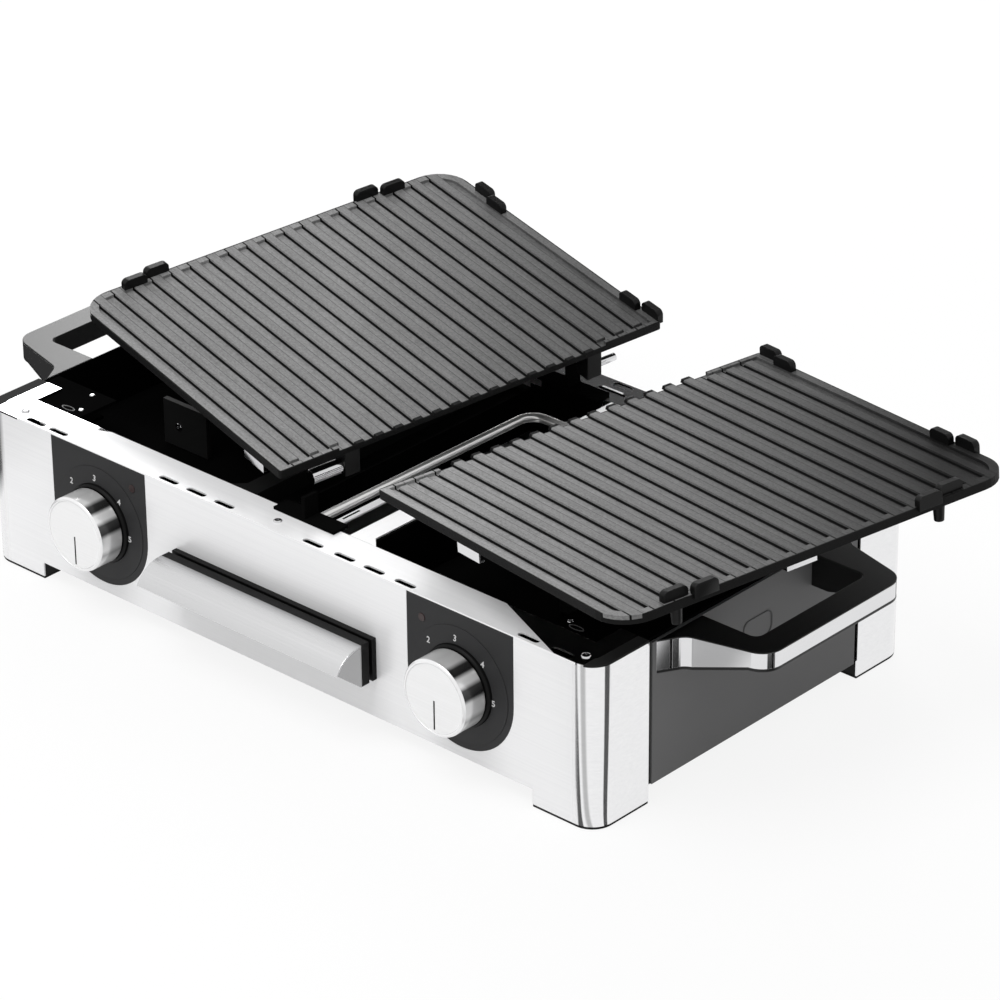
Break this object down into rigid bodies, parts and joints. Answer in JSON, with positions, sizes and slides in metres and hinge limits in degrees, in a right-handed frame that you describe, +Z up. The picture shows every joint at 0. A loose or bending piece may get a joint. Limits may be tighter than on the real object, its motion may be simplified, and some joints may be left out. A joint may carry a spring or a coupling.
{
  "type": "electric table grill",
  "caption": "steel electric table grill with lift-off ribbed grill plates, turning heat knobs, a pull-out drip tray and side handles",
  "frame": {"origin": "centre of the base's footprint, on the ground under the rubber pads", "axes": "+X to the right along the base, +Y from the knobs to the back, +Z up"},
  "size_m": [0.7494, 0.425, 0.2021],
  "materials": {
    "steel_shell": "satin stainless sheet",
    "steel_inside": "plain sheet steel",
    "bright_steel": "polished steel",
    "panel_grey": "matt dark grey paint",
    "end_grey": "matt grey paint",
    "black_plastic": "fine grained, heat resistant",
    "black_gloss": "glossy black",
    "black_enamel": "baked black enamel",
    "cast_plate": "cast, grey-black non-stick coating",
    "black_rubber": "solid rubber",
    "knob_metal": "satin and polished metal",
    "face_pale": "pale satin",
    "tube_steel": "heat tinted tube",
    "block_pale": "pale insulating body",
    "lens_red": "unlit red lens"
  },
  "bodies": {
    "base": {"front_shell": "steel_shell", "rear_shell": "steel_shell", "side_panel_left": "end_grey", "side_panel_right": "end_grey", "handle_left": "black_plastic", "handle_right": "black_plastic", "handle_band_left": "bright_steel", "handle_band_right": "bright_steel", "base_pan": "black_enamel", "foot_blocks": "black_plastic", "foot_pads": "black_rubber", "tub_left": "black_enamel", "tub_right": "black_enamel", "centre_frame": "steel_inside", "fat_channel": "black_enamel", "bridge_clips": "black_enamel", "leg_seats": "black_enamel", "heater_left": "tube_steel", "heater_right": "tube_steel", "heater_clamps": "steel_inside", "tray_rails": "steel_inside", "tray_slot_trim": "black_plastic", "control_panel_left": "panel_grey", "control_panel_right": "panel_grey", "dial_ring_left": "panel_grey", "dial_ring_right": "panel_grey", "bezel_left": "black_gloss", "bezel_right": "black_gloss", "thermostat_left": "block_pale", "thermostat_right": "block_pale", "pilot_lens_left": "lens_red", "pilot_lens_right": "lens_red", "terminal_block": "block_pale", "cable_gland": "black_plastic", "flange_screws": "bright_steel", "base_screws": "bright_steel"},
    "knob_left": {"knob_left": "knob_metal", "knob_face_left": "face_pale", "knob_pointer_left": "black_gloss", "knob_hub_left": "black_gloss", "spindle_left": "steel_inside"},
    "knob_right": {"knob_right": "knob_metal", "knob_face_right": "face_pale", "knob_pointer_right": "black_gloss", "knob_hub_right": "black_gloss", "spindle_right": "steel_inside"},
    "tray": {"drip_tray": "steel_inside", "tray_front": "black_plastic", "tray_pull": "steel_shell"},
    "plate_left": {"grill_plate_left": "cast_plate", "plate_legs_left": "black_enamel", "windshield_lugs_left": "black_plastic", "hook_ears_left": "black_plastic", "hook_pins_left": "bright_steel"},
    "plate_right": {"grill_plate_right": "cast_plate", "plate_legs_right": "black_enamel", "windshield_lugs_right": "black_plastic", "hook_ears_right": "black_plastic", "hook_pins_right": "bright_steel"}
  },
  "joints": [
    {"name": "left_knob_turn", "type": "hinge", "parent": "base", "child": "knob_left", "pos_m": [-0.1694, -0.1605, 0.0672], "axis": [0, 1, 0], "range_deg": [0, 270]},
    {"name": "right_knob_turn", "type": "hinge", "parent": "base", "child": "knob_right", "pos_m": [0.1694, -0.1605, 0.0672], "axis": [0, 1, 0], "range_deg": [0, 270]},
    {"name": "tray_slide", "type": "slide", "parent": "base", "child": "tray", "axis": [0, -1, 0], "range_m": [0, 0.28]},
    {"name": "left_plate_lift", "type": "slide", "parent": "base", "child": "plate_left", "axis": [0, 0, 1], "range_m": [0, 0.12]},
    {"name": "right_plate_lift", "type": "slide", "parent": "base", "child": "plate_right", "axis": [0, 0, 1], "range_m": [0, 0.12]}
  ]
}
